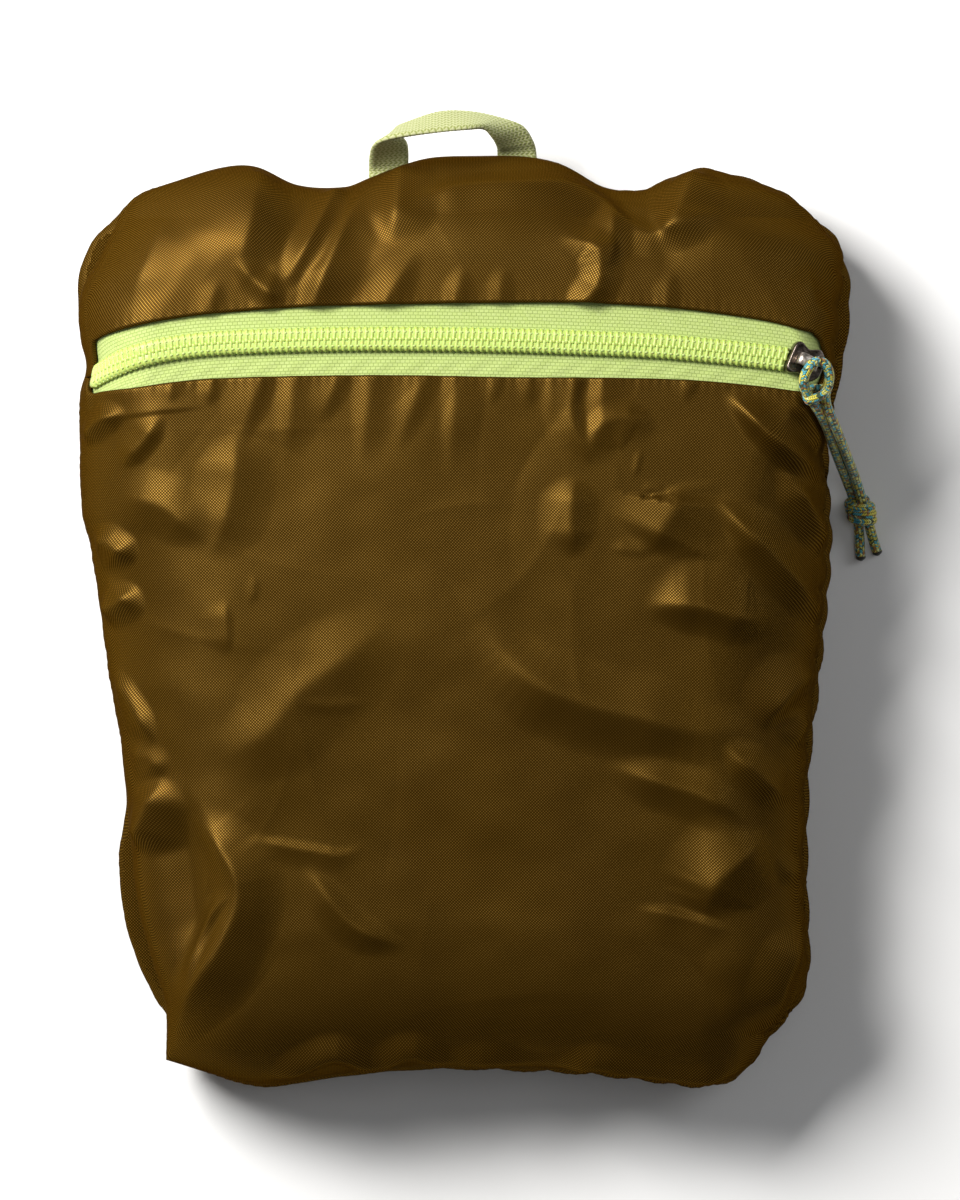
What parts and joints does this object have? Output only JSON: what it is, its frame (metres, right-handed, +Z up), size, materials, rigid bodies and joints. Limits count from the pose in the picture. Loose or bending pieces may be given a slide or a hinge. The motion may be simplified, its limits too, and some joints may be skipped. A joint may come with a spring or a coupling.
{
  "type": "packable backpack",
  "caption": "Backpack folded into its own zip pocket: a soft stuffed pouch lying on its back, with a wide zip across it, a knotted pull cord on the slider and a webbing grab loop.",
  "frame": {"origin": "on the floor under the middle of the pouch, its grab loop counted and its pull cord left out", "axes": "+X to the right across the zip, +Y towards the grab loop, +Z up from the floor out of the zip side"},
  "size_m": [0.2016, 0.2447, 0.0539],
  "materials": {
    "shell_nylon": "fine woven nylon with a satin sheen",
    "zip_tape": "matte woven tape",
    "zip_coil": "smooth nylon filament",
    "slider_metal": "dark plated casting, semi-gloss",
    "loop_webbing": "ribbed narrow webbing",
    "cord_braid": "braided cord of mixed yarns"
  },
  "bodies": {
    "root": {"front_panel": "shell_nylon", "top_panel": "shell_nylon", "back_panel": "shell_nylon", "packed_body": "shell_nylon", "zip_tape_upper": "zip_tape", "zip_tape_lower": "zip_tape", "zip_coil": "zip_coil", "zip_slider": "slider_metal", "grab_loop": "loop_webbing", "pull_cord_left": "cord_braid", "pull_cord_right": "cord_braid", "pull_cord_knot": "cord_braid"}
  },
  "joints": []
}
